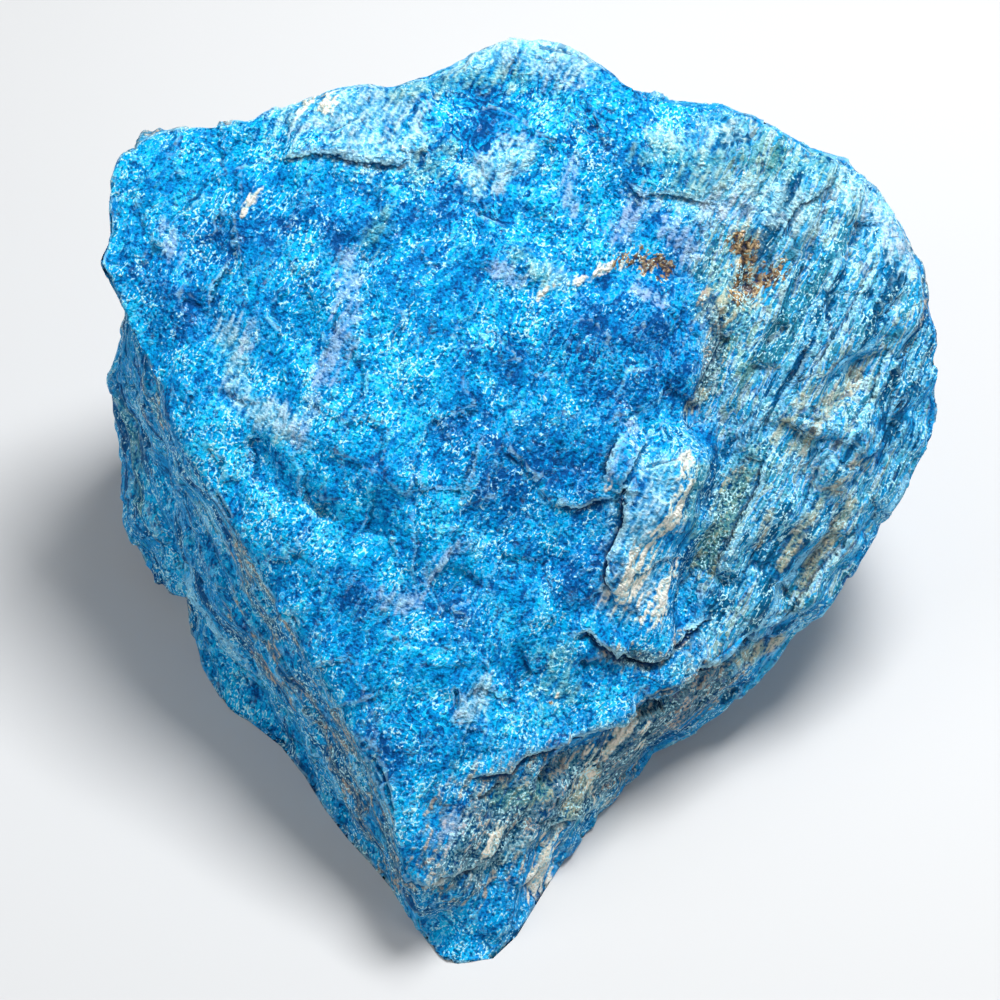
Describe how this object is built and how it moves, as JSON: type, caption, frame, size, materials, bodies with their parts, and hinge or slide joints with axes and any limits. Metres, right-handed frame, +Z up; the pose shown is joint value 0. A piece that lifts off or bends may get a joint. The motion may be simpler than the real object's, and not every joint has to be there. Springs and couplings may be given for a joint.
{
  "type": "apatite specimen",
  "caption": "Rough wedge of blue apatite rock that lies on its underside, with a sloping crystalline front, a sharp left ridge, a ribbed right side and a ledge low at the front.",
  "frame": {"origin": "middle of the bounding box seen from above, on the ground under the stone", "axes": "+X along the stone's width, its longest extent, to the right as pictured; +Y away from the viewer; +Z up"},
  "size_m": [0.1036, 0.0966, 0.0651],
  "materials": {
    "apatite_rock": "rough, freshly broken crystalline rock with small glassy crystal faces"
  },
  "bodies": {
    "root": {"stone": "apatite_rock"}
  },
  "joints": []
}
